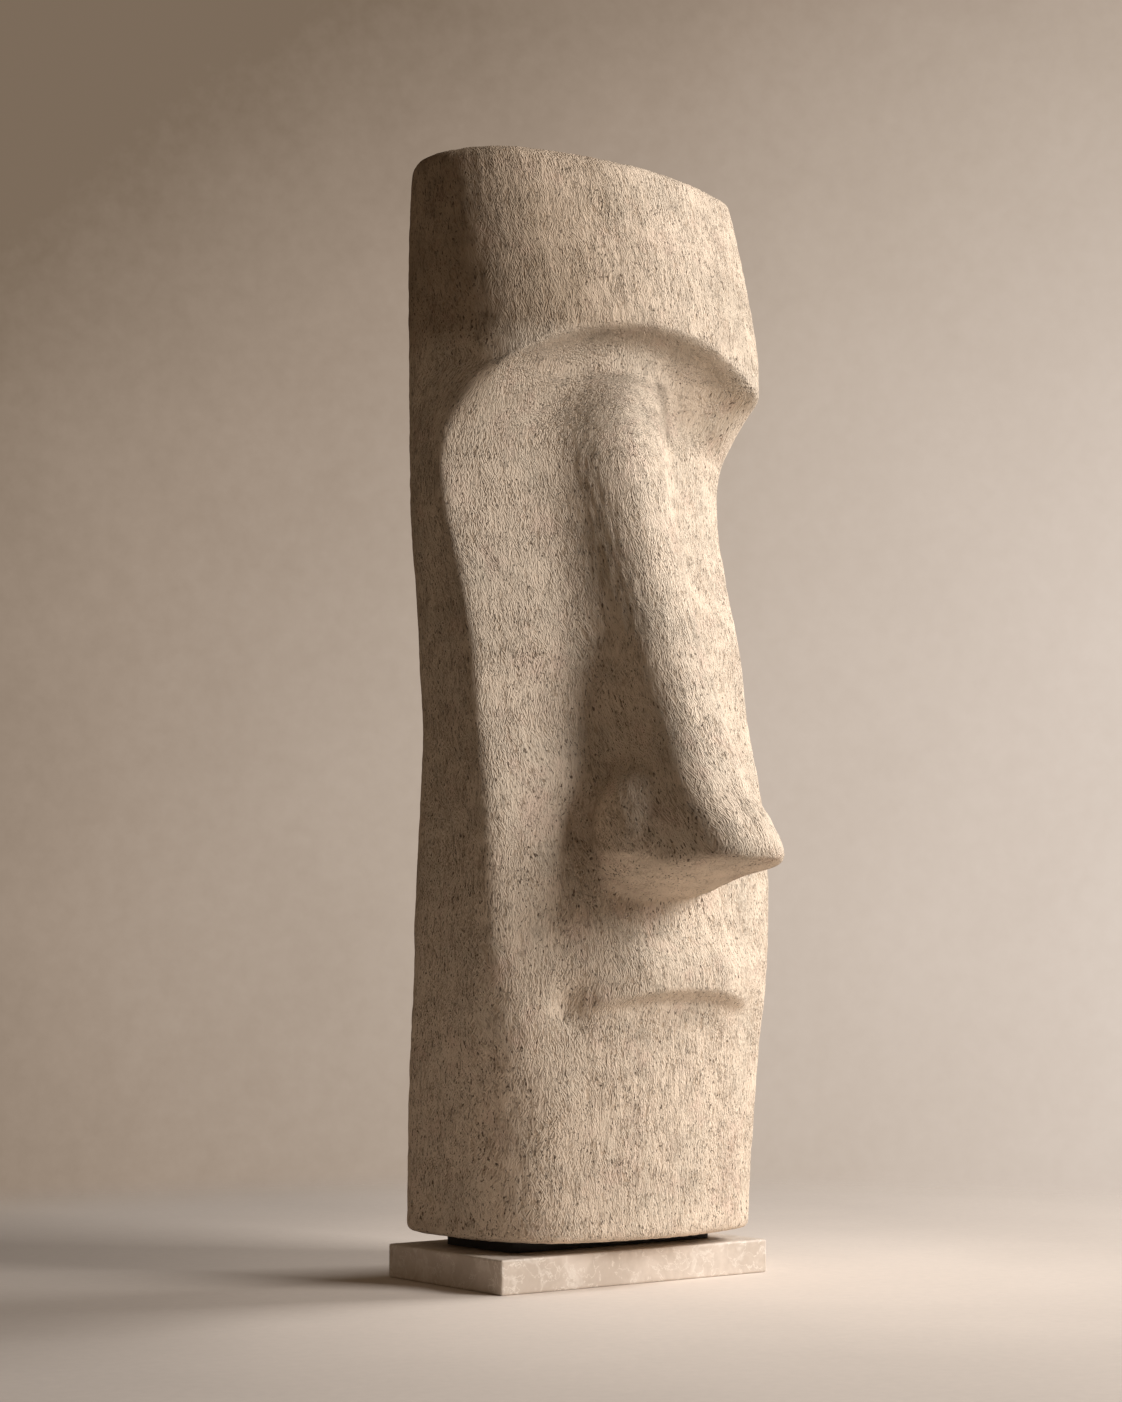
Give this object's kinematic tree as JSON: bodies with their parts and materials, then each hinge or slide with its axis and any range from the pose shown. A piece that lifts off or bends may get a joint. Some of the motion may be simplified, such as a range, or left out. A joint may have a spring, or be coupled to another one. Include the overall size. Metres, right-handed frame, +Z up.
{
  "type": "moai head statue",
  "caption": "Tall carved stone head with an arched brow, a long nose and closed lips, raised by a dark spacer plate on a thin marble plinth",
  "frame": {"origin": "centre of the plinth's underside, where the statue meets the floor or shelf", "axes": "+Z up; the face looks along -Y; +X is on the right of someone who looks at the face"},
  "size_m": [0.2224, 0.2376, 0.6845],
  "materials": {
    "head_stone": "warm beige stone with close upright tool marks and small dark pits, matte",
    "spacer_black": "flat black paint",
    "plinth_marble": "honed taupe marble with pale veins"
  },
  "bodies": {
    "root": {"moai_head": "head_stone", "spacer_plate": "spacer_black", "marble_plinth": "plinth_marble"}
  },
  "joints": []
}
